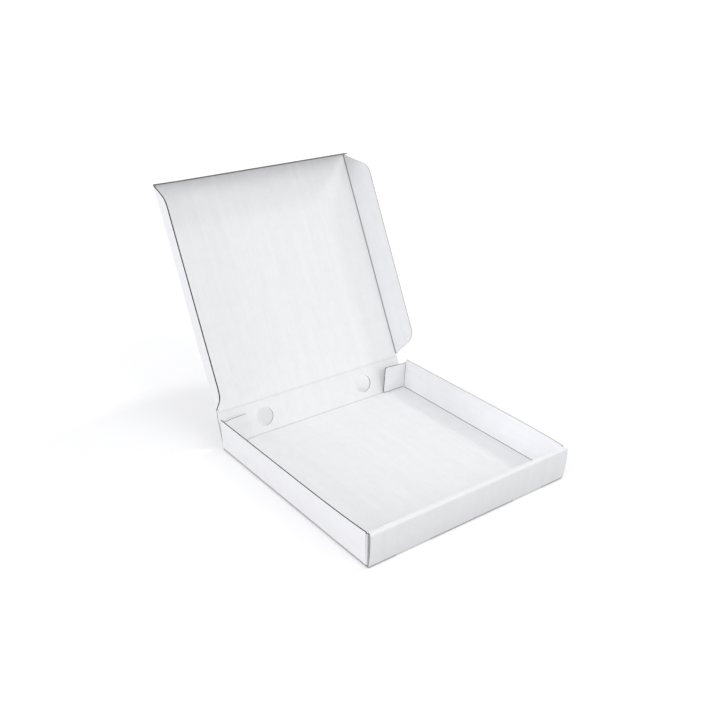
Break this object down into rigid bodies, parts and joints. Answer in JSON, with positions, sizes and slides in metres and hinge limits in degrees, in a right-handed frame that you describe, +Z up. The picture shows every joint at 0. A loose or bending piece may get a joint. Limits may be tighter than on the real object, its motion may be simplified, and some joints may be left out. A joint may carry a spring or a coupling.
{
  "type": "pizza box",
  "caption": "Square white corrugated pizza box, folded from one sheet, standing open: shallow tray with rolled front wall, vented rear wall and hinged lid with tuck flaps.",
  "frame": {"origin": "middle of the tray's underside, on the surface that the box stands on", "axes": "+X to the box's right seen from its front, +Y towards the lid's hinge, +Z up"},
  "size_m": [0.3135, 0.4634, 0.3262],
  "materials": {
    "white_board": "matt white liners over brown fluting, raw brown cut edges"
  },
  "bodies": {
    "tray": {"tray": "white_board"},
    "rear_wall": {"rear_wall": "white_board"},
    "lid": {"lid_panel": "white_board"},
    "left_flap": {"lid_left_flap": "white_board"},
    "right_flap": {"lid_right_flap": "white_board"},
    "front_flap": {"lid_front_flap": "white_board"},
    "left_tab": {"left_corner_tab": "white_board"},
    "right_tab": {"right_corner_tab": "white_board"}
  },
  "joints": [
    {"name": "rear_wall_fold", "type": "hinge", "parent": "tray", "child": "rear_wall", "pos_m": [0, 0.15565, 0.00075], "axis": [-1, 0, 0], "range_deg": [-18.11, 10.68]},
    {"name": "lid_hinge", "type": "hinge", "parent": "rear_wall", "child": "lid", "pos_m": [0, 0.17002, 0.04471], "axis": [-1, 0, 0], "range_deg": [-98.45, 58]},
    {"name": "left_flap_fold", "type": "hinge", "parent": "lid", "child": "left_flap", "pos_m": [-0.14885, 0.17002, 0.04471], "axis": [0, -0.4415, -0.8973], "range_deg": [-16.01, 9.44]},
    {"name": "right_flap_fold", "type": "hinge", "parent": "lid", "child": "right_flap", "pos_m": [0.14885, 0.17002, 0.04471], "axis": [0, 0.4415, 0.8973], "range_deg": [-24.02, 14.15]},
    {"name": "front_flap_fold", "type": "hinge", "parent": "lid", "child": "front_flap", "pos_m": [0, 0.30335, 0.31568], "axis": [-1, 0, 0], "range_deg": [0, 101]},
    {"name": "left_corner_tab_fold", "type": "hinge", "parent": "tray", "child": "left_tab", "pos_m": [-0.15, 0.1529, 0.022], "axis": [0, 0, -1], "range_deg": [0, 30]},
    {"name": "right_corner_tab_fold", "type": "hinge", "parent": "tray", "child": "right_tab", "pos_m": [0.15, 0.1529, 0.022], "axis": [0, 0, 1], "range_deg": [0, 30]}
  ],
  "couplings": [
    {"joint": "rear_wall_fold", "follows": "lid_hinge", "ratio": 0.18384},
    {"joint": "left_flap_fold", "follows": "lid_hinge", "ratio": 0.16251},
    {"joint": "right_flap_fold", "follows": "lid_hinge", "ratio": 0.24377}
  ]
}
